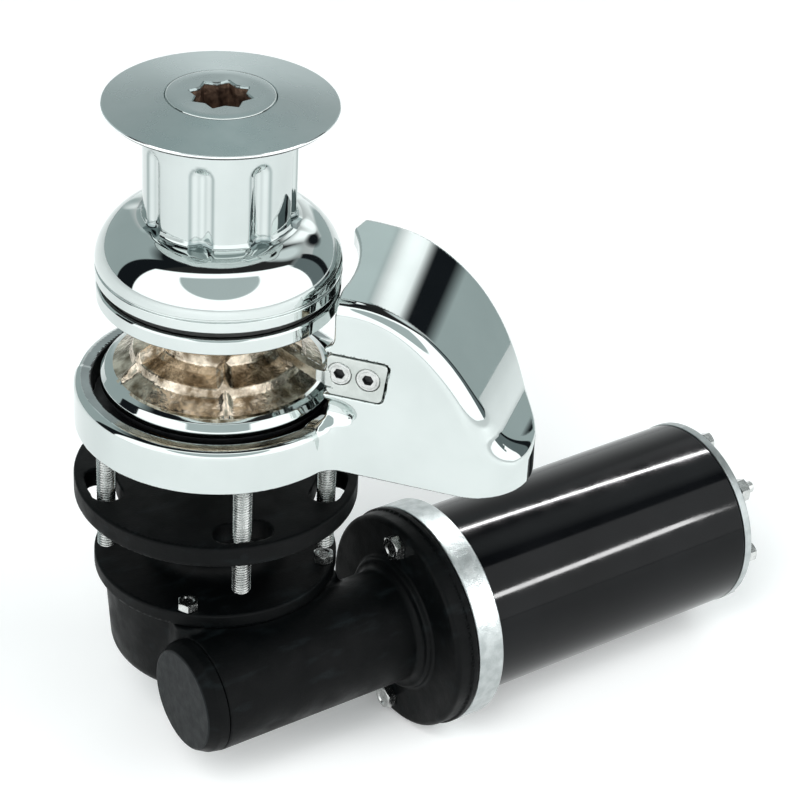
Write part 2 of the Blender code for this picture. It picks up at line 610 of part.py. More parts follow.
def worm_thread(rotor):
    """One right-hand thread of round section, whose crest faces the wheel at the middle."""
    turns, per_turn = 5, 20
    lead = math.pi * MODULE * WORM_RATIO_STARTS
    curve = bpy.data.curves.new("worm_thread_path", "CURVE")
    curve.dimensions = "3D"
    curve.bevel_depth = 2.0 * MM
    curve.bevel_resolution = 1
    curve.use_fill_caps = True
    spline = curve.splines.new("POLY")
    count = turns * per_turn
    spline.points.add(count)
    for i in range(count + 1):
        turn = i / per_turn - turns / 2
        angle = math.tau * turn + math.pi / 2
        x, y = 10.9 * math.cos(angle), 10.9 * math.sin(angle)
        spline.points[i].co = (x * MM, y * MM, lead * turn * MM, 1.0)
    guide = bpy.data.objects.new("worm_thread_path", curve)
    bpy.context.scene.collection.objects.link(guide)
    bpy.context.view_layer.update()
    graph = bpy.context.evaluated_depsgraph_get()
    mesh = bpy.data.meshes.new_from_object(guide.evaluated_get(graph))
    bpy.data.objects.remove(guide)
    shape = bmesh.new()
    shape.from_mesh(mesh)
    bmesh.ops.remove_doubles(shape, verts=shape.verts, dist=0.000001)
    shape.normal_update()
    bmesh.ops.recalc_face_normals(shape, faces=shape.faces)
    shape.to_mesh(mesh)
    shape.free()
    return link("worm_thread", mesh, None, rotor)


def shade():
    for made in PARTS.objects:
        if made.type == "MESH":
            made.data.shade_smooth()
            made.data.set_sharp_from_angle(angle=math.radians(35))


clear_scene()
PARTS = new_collection("anchor_windlass")
CUTTERS = new_collection("cutters")
CHROME = make_material("chrome", (0.86, 0.87, 0.86), 0.06, 1.0)
NICKEL = make_material("cast_nickel", (0.62, 0.56, 0.48), 0.38, 1.0)
STEEL = make_material("steel", (0.60, 0.60, 0.59), 0.25, 1.0)
ALUMINIUM = make_material("aluminium", (0.72, 0.73, 0.72), 0.35, 1.0)
BRONZE = make_material("bronze", (0.55, 0.36, 0.18), 0.35, 1.0)
COPPER = make_material("copper", (0.70, 0.42, 0.28), 0.30, 1.0)
BLACK = make_material("black_casting", (0.016, 0.017, 0.019), 0.50, 0.0)
BLACK_GLOSS = make_material("black_gloss", (0.006, 0.006, 0.007), 0.10, 0.0)
RUBBER = make_material("rubber", (0.02, 0.02, 0.02), 0.80, 0.0)
MAGNET = make_material("ferrite", (0.10, 0.10, 0.11), 0.60, 0.0)

shaft_axis = make_empty("shaft_axis")
drum_axis = make_empty("drum_axis", parent=shaft_axis)
nut_axis = make_empty("clutch_nut_axis", parent=drum_axis)
gypsy_axis = make_empty("gypsy_axis", parent=shaft_axis)
motor_frame = make_empty("motor_frame", (0, WORM_Y, WORM_Z), (0, math.pi / 2, 0))
rotor_axis = make_empty("rotor_axis", (0, WORM_Y, WORM_Z), (0, math.pi / 2, 0))

make_base()
make_stripper()
make_drum(drum_axis)
make_clutch_nut(nut_axis)
make_gypsy(gypsy_axis)
make_shaft(shaft_axis)
make_deck_flange()
make_gear_case(motor_frame)
make_motor(motor_frame)
make_rotor(rotor_axis)
shade()
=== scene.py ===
"""The looks of the anchor windlass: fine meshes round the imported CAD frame, materials, light and camera.
Shapes are worked out in millimetres, in the CAD's own frame, and stored in metres."""

import json
import math

import bmesh
import bpy
import numpy as np
from mathutils import Matrix, Vector

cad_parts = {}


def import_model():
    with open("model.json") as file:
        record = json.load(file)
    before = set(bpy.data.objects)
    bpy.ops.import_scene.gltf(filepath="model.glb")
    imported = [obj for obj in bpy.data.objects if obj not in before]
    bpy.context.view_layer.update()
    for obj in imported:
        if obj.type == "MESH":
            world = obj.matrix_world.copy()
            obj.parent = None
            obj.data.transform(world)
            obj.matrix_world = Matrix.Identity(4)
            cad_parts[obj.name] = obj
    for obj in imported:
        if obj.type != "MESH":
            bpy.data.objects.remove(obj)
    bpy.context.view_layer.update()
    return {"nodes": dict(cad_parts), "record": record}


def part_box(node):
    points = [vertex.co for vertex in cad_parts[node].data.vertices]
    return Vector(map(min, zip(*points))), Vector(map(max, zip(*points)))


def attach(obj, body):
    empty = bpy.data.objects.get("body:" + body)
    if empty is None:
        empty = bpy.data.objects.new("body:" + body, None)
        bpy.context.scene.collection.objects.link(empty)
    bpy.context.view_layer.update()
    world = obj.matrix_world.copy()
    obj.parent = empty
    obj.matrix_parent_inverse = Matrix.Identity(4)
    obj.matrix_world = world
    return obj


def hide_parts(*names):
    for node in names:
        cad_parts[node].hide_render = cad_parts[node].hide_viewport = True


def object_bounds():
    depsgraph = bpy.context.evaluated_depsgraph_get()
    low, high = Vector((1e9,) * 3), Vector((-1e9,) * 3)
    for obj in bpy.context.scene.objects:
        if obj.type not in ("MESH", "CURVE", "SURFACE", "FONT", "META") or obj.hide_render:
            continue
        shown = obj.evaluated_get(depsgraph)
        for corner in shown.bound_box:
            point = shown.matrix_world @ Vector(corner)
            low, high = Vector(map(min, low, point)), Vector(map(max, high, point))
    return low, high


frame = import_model()
MM = 0.001


def box_mm(node):
    """The lowest and highest corners of a CAD node, in millimetres."""
    low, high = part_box(node)
    return np.array(low) / MM, np.array(high) / MM


# ---------------------------------------------------------------- sizes, read from the frame

BASE_LOW, BASE_HIGH = box_mm("base_casting")
MOTOR_LOW, MOTOR_HIGH = box_mm("motor_case")
BELL_LOW, BELL_HIGH = box_mm("motor_front_bell")
BASE_RADIUS, BASE_TOP, BASE_FLOOR = -BASE_LOW[0], 20.0, 9.0
WELL_RADIUS, MOUTH_RADIUS = 52.0, 56.5
HOOD_ANGLE = math.radians(-52.0)
HOOD_NEAR, HOOD_FAR, HOOD_NOSE, HOOD_MIDDLE = -21.3, 41.0, 135.0, 3.7
HOOD_PEAK, HOOD_PEAK_ALONG, HOOD_RUN, HOOD_FALL, HOOD_FOOT = BASE_HIGH[2], 62.0, 85.0, 170.0, 15.0
STRIPPER_Z, STRIPPER_LEAN, STRIPPER_SCREWS = 45.4, 0.13, ((59.5, 46.5), (71.5, 46.1))
DRUM_RADIUS, BARREL_RADIUS, DISC_RADIUS = box_mm("drum")[1][0], 30.8, 46.95
FLUTES, FLUTE_HALF_WIDTH, FLUTE_TOP, FLUTE_FOOT, FLUTE_DEPTH = 8, 5.6, 132.0, 98.0, 2.3
SOCKET_FLATS, SOCKET_POINT, NUT_TOP = 17.46, 12.9, 148.8
GYPSY_POCKETS, RIB_START, RIB_HEIGHT = 5, math.radians(27.5), 5.2
SHAFT_Y = (MOTOR_LOW[1] + MOTOR_HIGH[1]) / 2
SHAFT_Z = (MOTOR_LOW[2] + MOTOR_HIGH[2]) / 2
MOTOR_RADIUS = (MOTOR_HIGH[1] - MOTOR_LOW[1]) / 2
RING_RADIUS = (BELL_HIGH[1] - BELL_LOW[1]) / 2
STUD_CIRCLE, STUD_ANGLES = 48.0, (165.0, -108.5, -47.0, 72.0)
SLOT_CIRCLE, SLOT_HALF_WIDTH, SLOT_SWING = 49.4, 6.6, math.radians(7.0)
LID_BOLT_CIRCLE, LID_BOLT_ANGLES = 47.5, (45.0, 135.0, 225.0, 315.0)
CASE_TOP, LID_SEAT = box_mm("gear_case")[1][2], -72.5
FINE_COLUMNS = 400
ALONG_X = Matrix.Translation((0, SHAFT_Y, SHAFT_Z)) @ Matrix.Rotation(math.pi / 2, 4, "Y")


def polar(radius, degrees):
    return radius * math.cos(math.radians(degrees)), radius * math.sin(math.radians(degrees))


# ---------------------------------------------------------------- materials


def node_tree(name):
    made = bpy.data.materials.new(name)
    made.use_nodes = True
    tree = made.node_tree
    return made, tree, tree.nodes["Principled BSDF"]


def add_noise(tree, scale, detail=4.0, stretch=(1, 1, 1)):
    """Noise in the object's own coordinates. Scale is in features per metre."""
    place = tree.nodes.new("ShaderNodeTexCoord")
    mapping = tree.nodes.new("ShaderNodeMapping")
    mapping.inputs["Scale"].default_value = stretch
    noise = tree.nodes.new("ShaderNodeTexNoise")
    noise.inputs["Scale"].default_value = scale
    noise.inputs["Detail"].default_value = detail
    tree.links.new(place.outputs["Object"], mapping.inputs["Vector"])
    tree.links.new(mapping.outputs["Vector"], noise.inputs["Vector"])
    return noise.outputs["Fac"]


def spread(tree, value, low, high, start=0.35, end=0.65):
    """Turns a noise value into one that runs from low to high."""
    node = tree.nodes.new("ShaderNodeMapRange")
    for name, number in (("From Min", start), ("From Max", end), ("To Min", low), ("To Max", high)):
        node.inputs[name].default_value = number
    tree.links.new(value, node.inputs["Value"])
    return node.outputs["Result"]


def tint(tree, value, first, second):
    ramp = tree.nodes.new("ShaderNodeValToRGB")
    ramp.color_ramp.elements[0].position = 0.35
    ramp.color_ramp.elements[1].position = 0.65
    ramp.color_ramp.elements[0].color = (*first, 1)
    ramp.color_ramp.elements[1].color = (*second, 1)
    tree.links.new(value, ramp.inputs["Fac"])
    return ramp.outputs["Color"]


def add_bump(tree, shader, heights, distance):
    """Bump from one or more height sockets, one after another."""
    last = None
    for height, strength in heights:
        bump = tree.nodes.new("ShaderNodeBump")
        bump.inputs["Strength"].default_value = strength
        bump.inputs["Distance"].default_value = distance
        tree.links.new(height, bump.inputs["Height"])
        if last:
            tree.links.new(last, bump.inputs["Normal"])
        last = bump.outputs["Normal"]
    tree.links.new(last, shader.inputs["Normal"])


def make_surface(name, dark, light, metallic, rough, grain, bump=0.0, bump_scale=900.0, **more):
    """A material whose colour and roughness drift with noise, over a fine bump."""
    made, tree, shader = node_tree(name)
    shader.inputs["Metallic"].default_value = metallic
    drift = add_noise(tree, grain)
    tree.links.new(tint(tree, drift, dark, light), shader.inputs["Base Color"])
    blotch = add_noise(tree, grain * 2.7, 6.0)
    tree.links.new(spread(tree, blotch, *rough), shader.inputs["Roughness"])
    if bump:
        coarse = add_noise(tree, bump_scale / 4, 3.0)
        fine = add_noise(tree, bump_scale, 5.0)
        add_bump(tree, shader, ((coarse, bump), (fine, bump)), 0.0004)
    for socket, number in more.items():
        shader.inputs[socket.replace("_", " ")].default_value = number
    return made


def make_satin_top():
    """Metal turned on a lathe: fine rings that draw the light out into radial streaks."""
    made, tree, shader = node_tree("satin_top")
    shader.inputs["Metallic"].default_value = 1.0
    shader.inputs["Anisotropic"].default_value = 0.75
    tangent = tree.nodes.new("ShaderNodeTangent")
    tangent.direction_type = "RADIAL"
    tangent.axis = "Z"
    tree.links.new(tangent.outputs["Tangent"], shader.inputs["Tangent"])
    drift = add_noise(tree, 60.0)
    colour = tint(tree, drift, (0.36, 0.425, 0.425), (0.42, 0.485, 0.485))
    tree.links.new(colour, shader.inputs["Base Color"])
    tree.links.new(spread(tree, drift, 0.24, 0.32), shader.inputs["Roughness"])
    add_bump(tree, shader, ((add_noise(tree, 1500.0, 3.0, (1, 1, 0.1)), 0.03),), 0.0001)
    return made


def make_drum_chrome():
    """Chrome with a painted reflection: where the shade attribute is high, a soft grey stands for the
    surroundings the flutes' sides mirror.
    """
    made, tree, shader = node_tree("drum_chrome")
    shader.inputs["Metallic"].default_value = 1.0
    drift = add_noise(tree, 25.0)
    shade = tree.nodes.new("ShaderNodeAttribute")
    shade.attribute_name = "shade"
    mix = tree.nodes.new("ShaderNodeMix")
    mix.data_type = "RGBA"
    tree.links.new(shade.outputs["Fac"], mix.inputs["Factor"])
    tree.links.new(tint(tree, drift, (0.59, 0.635, 0.625), (0.64, 0.685, 0.675)), mix.inputs["A"])
    # The painted reflection's grey for the flutes' sides.
    mix.inputs["B"].default_value = (0.22, 0.27, 0.27, 1)
    tree.links.new(mix.outputs["Result"], shader.inputs["Base Color"])
    tree.links.new(spread(tree, drift, 0.025, 0.06), shader.inputs["Roughness"])
    return made


def make_black_casting():
    """Satin black paint on a casting, with scuffs that show where noise peaks."""
    made, tree, shader = node_tree("black_casting")
    scuff = spread(tree, add_noise(tree, 55.0, 8.0, (1, 3, 3)), 0.0, 1.0, 0.56, 0.70)
    grain = add_noise(tree, 1400.0, 5.0)
    speck = tree.nodes.new("ShaderNodeMath")
    speck.operation = "MULTIPLY"
    tree.links.new(scuff, speck.inputs[0])
    tree.links.new(grain, speck.inputs[1])
    ramp = tree.nodes.new("ShaderNodeValToRGB")
    ramp.color_ramp.elements[0].color = (0.0010, 0.0014, 0.0016, 1)
    ramp.color_ramp.elements[1].color = (0.0065, 0.0095, 0.0105, 1)
    tree.links.new(speck.outputs["Value"], ramp.inputs["Fac"])
    tree.links.new(ramp.outputs["Color"], shader.inputs["Base Color"])
    tree.links.new(spread(tree, add_noise(tree, 90.0, 6.0), 0.40, 0.58), shader.inputs["Roughness"])
    add_bump(tree, shader, ((add_noise(tree, 350.0, 4.0), 0.22), (grain, 0.22)), 0.0003)
    shader.inputs["Specular IOR Level"].default_value = 0.10
    return made


CHROME = make_surface("chrome", (0.59, 0.635, 0.625), (0.64, 0.685, 0.675), 1.0, (0.025, 0.06), 25.0)
DRUM_CHROME = make_drum_chrome()
SATIN_TOP = make_satin_top()
RIM = make_surface("bright_rim", (0.84, 0.87, 0.87), (0.92, 0.94, 0.94), 1.0, (0.08, 0.14), 40.0)
NICKEL = make_surface(
    "cast_nickel", (0.17, 0.13, 0.085), (0.82, 0.72, 0.59), 1.0, (0.08, 0.27), 150.0, 0.85, 420.0
)
STEEL = make_surface("steel", (0.50, 0.51, 0.50), (0.66, 0.67, 0.66), 1.0, (0.16, 0.30), 300.0, 0.1)
PLATE = make_surface(
    "stripper_plate", (0.47, 0.50, 0.48), (0.58, 0.61, 0.59), 1.0, (0.16, 0.26), 120.0, 0.05
)
ALUMINIUM = make_surface(
    "satin_aluminium", (0.38, 0.41, 0.41), (0.50, 0.53, 0.53), 1.0, (0.30, 0.42), 220.0, 0.25, 1800.0
)
BRONZE = make_surface("bronze", (0.42, 0.26, 0.12), (0.60, 0.40, 0.20), 1.0, (0.25, 0.40), 200.0, 0.1)
COPPER = make_surface("copper", (0.55, 0.33, 0.22), (0.74, 0.46, 0.32), 1.0, (0.22, 0.35), 200.0, 0.1)
SOCKET = make_surface(
    "socket_wall", (0.05, 0.028, 0.02), (0.26, 0.17, 0.12), 0.8, (0.30, 0.55), 260.0, 0.6, 500.0
)
BLACK = make_black_casting()
CAP_BLACK = make_surface(
    "cap_black", (0.0025, 0.0042, 0.005), (0.0035, 0.0055, 0.0065), 0.0, (0.45, 0.55), 80.0, 0.12, 1600.0,
    Specular_IOR_Level=0.15,
)
GLOSS = make_surface(
    "black_gloss", (0.0015, 0.0018, 0.0022), (0.003, 0.0034, 0.004), 0.0, (0.07, 0.11), 30.0, 0.012, 220.0,
    Specular_IOR_Level=0.16,
)
# A darker chrome for the ring's flat top: painted shade that stands in for the dark band it mirrors.
SHADED_RING_TOP = make_surface("ring_top_painted_shade", (0.30, 0.34, 0.34), (0.38, 0.43, 0.43), 1.0, (0.10, 0.18), 60.0)
# A dark sheet that stands for shade: painted shadow in the well, in screw sockets, under the drum's rim and
# on the gypsy's foot.
PAINTED_SHADOW = make_surface(
    "well_shadow", (0.006, 0.007, 0.008), (0.015, 0.016, 0.017), 0.0, (0.35, 0.5), 200.0, 0.2
)
RUBBER = make_surface("rubber", (0.012, 0.012, 0.012), (0.02, 0.02, 0.02), 0.0, (0.6, 0.8), 150.0, 0.2)
FERRITE = make_surface("ferrite", (0.05, 0.05, 0.055), (0.09, 0.09, 0.095), 0.1, (0.5, 0.7), 300.0, 0.2)
SLOT_LOOK = {
    "chrome": CHROME, "cast_nickel": NICKEL, "steel": STEEL, "aluminium": ALUMINIUM, "bronze": BRONZE,
    "copper": COPPER, "black_casting": BLACK, "black_gloss": GLOSS, "rubber": RUBBER, "ferrite": FERRITE,
}


def dress_cad_nodes():
    """Every CAD node takes its slot's procedural material."""
    for part in frame["record"]["subparts"]:
        node = frame["nodes"][part["node"]]
        node.data.materials.clear()
        node.data.materials.append(SLOT_LOOK[part["material_slot"]])


# ---------------------------------------------------------------- pieces and meshes

BODY_OF = {node: body for body, nodes in frame["record"]["behaviour"]["bodies"].items() for node in nodes}


def add_piece(name, points, faces, looks, replaces, matrix=None, face_looks=None, normals=None):
    """A smooth-shaded piece that stands for a CAD node and rides on that node's body."""
    mesh = bpy.data.meshes.new(name)
    mesh.from_pydata((points * MM).tolist(), [], faces if isinstance(faces, list) else faces.tolist())
    for look in looks:
        mesh.materials.append(look)
    mesh.shade_smooth()
    if face_looks is not None:
        mesh.polygons.foreach_set("material_index", np.asarray(face_looks, np.int32))
    if matrix is not None:
        matrix = matrix.copy()
        matrix.translation = matrix.translation * MM
        mesh.transform(matrix)
    if normals is not None:
        mesh.normals_split_custom_set_from_vertices(normals.tolist())
    mesh.update()
    piece = bpy.data.objects.new(name, mesh)
    bpy.context.scene.collection.objects.link(piece)
    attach(piece, BODY_OF[replaces])
    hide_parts(replaces)
    return piece


def soften(corners, steps=6, hold=0.15):
    """Corners (x, y, radius) as a dense line: each one rounded by a curve, and each straight run given
    a point close to both its ends, so that smooth shading leaves flats flat."""
    line = []
    last = len(corners) - 1
    for i, (x, y, radius) in enumerate(corners):
        here = np.array((x, y), float)
        if i in (0, last) or radius <= 0:
            line.append(here)
            continue
        before = np.array(corners[i - 1][:2], float) - here
        after = np.array(corners[i + 1][:2], float) - here
        reach_before, reach_after = np.linalg.norm(before), np.linalg.norm(after)
        before, after = before / reach_before, after / reach_after
        half = math.acos(max(-1.0, min(1.0, float(before @ after)))) / 2
        cut = min(radius / math.tan(half), 0.48 * reach_before, 0.48 * reach_after)
        weight = math.sin(half)
        for k in range(steps + 1):
            t = k / steps
            shares = np.array(((1 - t) ** 2, 2 * t * (1 - t) * weight, t**2))
            places = np.array((here + before * cut, here, here + after * cut))
            line.append(shares @ places / shares.sum())
    held = [line[0]]
    for start, end in zip(line, line[1:]):
        length = np.linalg.norm(end - start)
        if length > 4 * hold:
            held.append(start + (end - start) * hold / length)
            held.append(end - (end - start) * hold / length)
        held.append(end)
    return np.array(held)


def grid_faces(rows, columns, closed=False):
    """Quads between rows of points round an axis. A closed grid joins its last row to its first."""
    row, column = np.meshgrid(np.arange(rows if closed else rows - 1), np.arange(columns), indexing="ij")
    below, beside = (row + 1) % rows, (column + 1) % columns
    corners = ((row, column), (below, column), (below, beside), (row, beside))
    return np.stack([across * columns + along for across, along in corners], -1).reshape(-1, 4)


def stack_rings(rings, angle, place=(0.0, 0.0)):
    """Points of rings (size, height) round an axis. A size is one number, or a number for each angle."""
    level = np.ones(len(angle))
    return np.concatenate([
        np.stack((size * np.cos(angle) + place[0], size * np.sin(angle) + place[1], height * level), -1)
        for size, height in rings
    ])


def revolve(line, columns=192, push=None):
    """Points and faces of a line of (radius, height) turned about Z. The line runs down the outside.
    push(radius, height, angle) returns a new radius and height. A line that doesn't touch the axis is
    closed into a ring."""
    angles = np.linspace(0, math.tau, columns, endpoint=False)
    radius = np.repeat(line[:, 0][:, None], columns, 1)
    height = np.repeat(line[:, 1][:, None], columns, 1)
    angle = np.repeat(angles[None, :], len(line), 0)
    if push:
        radius, height = push(radius, height, angle)
    points = np.stack((radius * np.cos(angle), radius * np.sin(angle), height), -1).reshape(-1, 3)
    return points, grid_faces(len(line), columns, line[0][0] > 1e-6)


def weld(piece, distance=0.000002):
    """Merges the points that meet on the axis."""
    shape = bmesh.new()
    shape.from_mesh(piece.data)
    bmesh.ops.remove_doubles(shape, verts=shape.verts, dist=distance)
    bmesh.ops.dissolve_degenerate(shape, edges=shape.edges, dist=distance / 4)
    shape.to_mesh(piece.data)
    shape.free()


def turned(name, corners, look, replaces, matrix=None, columns=160, push=None):
    """A turned piece from its profile's corners."""
    points, faces = revolve(soften(corners), columns, push)
    piece = add_piece(name, points, faces, [look], replaces, matrix)
    weld(piece)
    return piece


# ---------------------------------------------------------------- shapes from distance functions


def round_union(first, second, radius):
    deep = np.hypot(np.maximum(radius - first, 0), np.maximum(radius - second, 0))
    return np.maximum(radius, np.minimum(first, second)) - deep


def round_common(first, second, radius):
    return -round_union(-first, -second, radius)


def round_cut(body, tool, radius):
    return round_common(body, -tool, radius)


def cylinder(x, y, z, place, radius, low, high, edge):
    return round_common(np.hypot(x - place[0], y - place[1]) - radius, np.maximum(z - high, low - z), edge)


def gradient(field, points, step=0.02):
    slopes = []
    for axis in range(3):
        shift = np.zeros(3)
        shift[axis] = step
        slopes.append((field(*(points + shift).T) - field(*(points - shift).T)) / (2 * step))
    return np.stack(slopes, -1)


def net_surface(field, low, high, step):
    """A surface net over the field's zero level: points pulled onto the surface, quads, and normals."""
    axes = [np.arange(a - 1.5 * step, b + 2.5 * step, step) for a, b in zip(low, high)]
    value = field(*np.meshgrid(*axes, indexing="ij"))
    inside = value < 0
    cells = tuple(n - 1 for n in value.shape)
    total = np.zeros(cells + (3,))
    count = np.zeros(cells)
    crossings = []
    for axis in range(3):
        first = [slice(None)] * 3
        second = [slice(None)] * 3
        first[axis], second[axis] = slice(0, -1), slice(1, None)
        a, b = value[tuple(first)], value[tuple(second)]
        where = np.argwhere(inside[tuple(first)] != inside[tuple(second)])
        others = [k for k in range(3) if k != axis]
        ok = np.all([(where[:, k] > 0) & (where[:, k] < value.shape[k] - 1) for k in others], axis=0)
        where = where[ok]
        start, end = a[tuple(where.T)], b[tuple(where.T)]
        place = where.astype(float)
        place[:, axis] += start / (start - end)
        for back in ((0, 0), (0, 1), (1, 0), (1, 1)):
            cell = where.copy()
            cell[:, others[0]] -= back[0]
            cell[:, others[1]] -= back[1]
            np.add.at(total, tuple(cell.T), place)
            np.add.at(count, tuple(cell.T), 1)
        crossings.append((axis, others, where, start < 0))
    used = count > 0
    index = np.full(cells, -1)
    index[used] = np.arange(used.sum())
    points = total[used] / count[used][:, None] * step + np.array([axis[0] for axis in axes])
    faces = []
    for axis, others, where, leaving in crossings:
        ring = []
        for back in ((0, 0), (1, 0), (1, 1), (0, 1)):
            cell = where.copy()
            cell[:, others[0]] -= back[0]
            cell[:, others[1]] -= back[1]
            ring.append(index[tuple(cell.T)])
        quad = np.stack(ring, -1)
        turn = leaving if axis != 1 else ~leaving
        quad[~turn] = quad[~turn][:, ::-1]
        faces.append(quad)
    for _ in range(4):
        slope = gradient(field, points)
        size = np.maximum((slope**2).sum(1), 0.2)
        move = slope * (field(*points.T) / size)[:, None]
        far = np.maximum(np.linalg.norm(move, axis=1) / (0.5 * step), 1.0)
        points = points - move / far[:, None]
    normals = gradient(field, points)
    normals /= np.maximum(np.linalg.norm(normals, axis=1), 1e-9)[:, None]
    return points, np.concatenate(faces), normals


def sculpted(name, field, replaces, looks, step, choose=None, room=2.0):
    """A piece from a distance function, sampled over its CAD node's box and a little room round it.
    choose(middles) gives each face its material's number."""
    low, high = box_mm(replaces)
    points, faces, normals = net_surface(field, low - room, high + room, step)
    chosen = choose(points[faces].mean(1)) if choose else None
    return add_piece(name, points, faces, looks, replaces, face_looks=chosen, normals=normals)


# ---------------------------------------------------------------- above the deck


def hood_frame(x, y):
    """Places as (along the hood, across it)."""
    cos, sin = math.cos(HOOD_ANGLE), math.sin(HOOD_ANGLE)
    return x * cos + y * sin, -x * sin + y * cos


def hood_plan(along, across):
    """Distance to the hood's outline from above: two straight sides and two nose arcs."""
    near_radius = HOOD_MIDDLE - HOOD_NEAR
    far_radius = HOOD_FAR - HOOD_MIDDLE
    side = across - HOOD_MIDDLE
    near_arc = np.hypot(np.maximum(along - HOOD_NOSE + near_radius, 0), side) - near_radius
    far_arc = np.hypot(np.maximum(along - HOOD_NOSE + far_radius, 0), side) - far_radius
    return np.where(across < HOOD_MIDDLE, near_arc, far_arc)


def hood_side(along, z, inset=0.0):
    """Distance to the hood's outline from the side: level, then a quarter ellipse."""
    run, fall = HOOD_RUN - inset, HOOD_FALL - inset
    out = np.maximum(along - HOOD_PEAK_ALONG, 0)
    up = z - HOOD_PEAK + HOOD_FALL
    ratio = np.sqrt((out / run) ** 2 + (up / fall) ** 2)
    slope = np.sqrt((out / run**2) ** 2 + (up / fall**2) ** 2)
    return ratio * (ratio - 1) / np.maximum(slope, 1e-9)


def base_field(x, y, z):
    """The base ring and the chain hood, less the gypsy's well, the hood's mouth and inside, the
    stripper's pocket and the thumb scoop beside it."""
    radius = np.hypot(x, y)
    along, across = hood_frame(x, y)
    ring = round_common(radius - BASE_RADIUS, z - BASE_TOP, 3.4)
    plan = hood_plan(along, across)
    rise = 0.10 * np.clip((105.0 - along) / 50.0, 0, 1) * (across - HOOD_MIDDLE)
    side = round_union(hood_side(along, z - rise), z - HOOD_FOOT, 13.0)
    towards_nose = np.clip((along - 80.0) / 50.0, 0, 1)
    edge = 1.6 + (4.4 + 3.0 * towards_nose) * np.clip((12.0 - across) / 22.0, 0, 1)
    hood = round_common(plan, side, edge)
    hood = np.maximum(hood, 30.0 - along)
    well = np.maximum(radius - MOUTH_RADIUS, BASE_TOP + 0.3 - z)
    hood = round_cut(hood, well, 1.2)
    mouth = np.hypot(along + 46.1, across + 25.5) - 103.0
    hood = round_cut(hood, round_common(mouth, 57.0 - z, 5.0), 0.9)
    corner = round_common(0.963 * along - 0.267 * across - 36.3, 10.0 - across, 1.0)
    hood = round_cut(hood, round_common(corner, 44.0 - z, 4.0), 0.9)
    body = round_union(ring, hood, 5.0)
    walls = np.where(across < HOOD_MIDDLE, 7.0, 5.0)
    space = round_common(plan + walls, hood_side(along, z, 5.0), 4.0)
    space = round_cut(space, np.maximum(radius - BASE_RADIUS + 1.0, z - BASE_TOP), 2.0)
    body = round_cut(body, space, 1.0)
    body = round_cut(body, np.maximum(radius - WELL_RADIUS, BASE_FLOOR - z), 1.2)
    slant = along - 79.3 - (z - STRIPPER_Z) * STRIPPER_LEAN
    pocket = np.maximum(round_common(slant, np.abs(z - STRIPPER_Z) - 9.6, 2.8), across + 17.0)
    body = round_cut(body, pocket, 0.5)
    scoop = np.sqrt(((along - 57.0) / 1.7) ** 2 + ((across + 23.5) / 0.9) ** 2 + (z - 28.0) ** 2) - 6.2
    body = round_cut(body, scoop, 1.5)
    body = np.maximum(body, 14.0 - radius)
    return round_common(body, -z, 0.8)


def base_looks(middle):
    """The well's wall takes a painted shadow, and the ring's flat top a darker chrome, a painted shade."""
    radius, height = np.hypot(middle[:, 0], middle[:, 1]), middle[:, 2]
    in_well = radius < WELL_RADIUS + 0.9
    looks = (in_well & (height > 4.0) & (height < BASE_TOP + 0.3)).astype(int)
    # The ring's flat top: painted shade.
    looks[~in_well & (radius < MOUTH_RADIUS - 0.1) & (np.abs(height - BASE_TOP) < 0.4)] = 2
    return looks


def make_base():
    looks = [CHROME, PAINTED_SHADOW, SHADED_RING_TOP]
    sculpted("base_casting_fine", base_field, "base_casting", looks, 0.85, base_looks, 6.0)


def stripper_field(x, y, z):
    """A rounded plate with two countersunk holes, and a finger that tapers to the gypsy's core."""
    along, across = hood_frame(x, y)
    slant = along - 78.5 - (z - STRIPPER_Z) * STRIPPER_LEAN
    plate = round_common(np.maximum(slant, 54.2 - along), np.abs(z - STRIPPER_Z) - 8.9, 2.2)
    plate = round_common(plate, np.abs(across + 19.3) - 2.0, 0.4)
    for hole_along, hole_z in STRIPPER_SCREWS:
        bore = np.hypot(along - hole_along, z - hole_z)
        sink = bore - 5.3 + np.maximum(across + 18.6, 0) * 1.2
        plate = round_cut(plate, np.maximum(sink, across + 18.0), 0.2)
    inward = np.clip((58.0 - along) / 28.0, 0, 1.2)
    middle = -19.3 + 13.0 * np.clip((50.0 - along) / 22.0, 0, 1)
    finger = np.maximum(np.abs(across - middle) - 2.6 + 0.6 * inward, np.abs(z - 43.8) - 3.0 + 0.9 * inward)
    finger = np.maximum(finger, np.maximum(along - 56.0, 28.5 - along))
    return round_union(plate, finger + 0.3, 2.5) - 0.2


def make_stripper():
    sculpted("stripper_arm_fine", stripper_field, "stripper_arm", [PLATE], 0.55, room=1.0)
    hood_turn = Matrix.Rotation(HOOD_ANGLE, 4, "Z")
    lay_down = Matrix.Rotation(math.pi / 2, 4, "X")
    for number, (along, height) in enumerate(STRIPPER_SCREWS, 1):
        place = Matrix.Translation((along, HOOD_NEAR, height))
        weld(socket_screw(f"stripper_screw_{number}", hood_turn @ place @ lay_down))


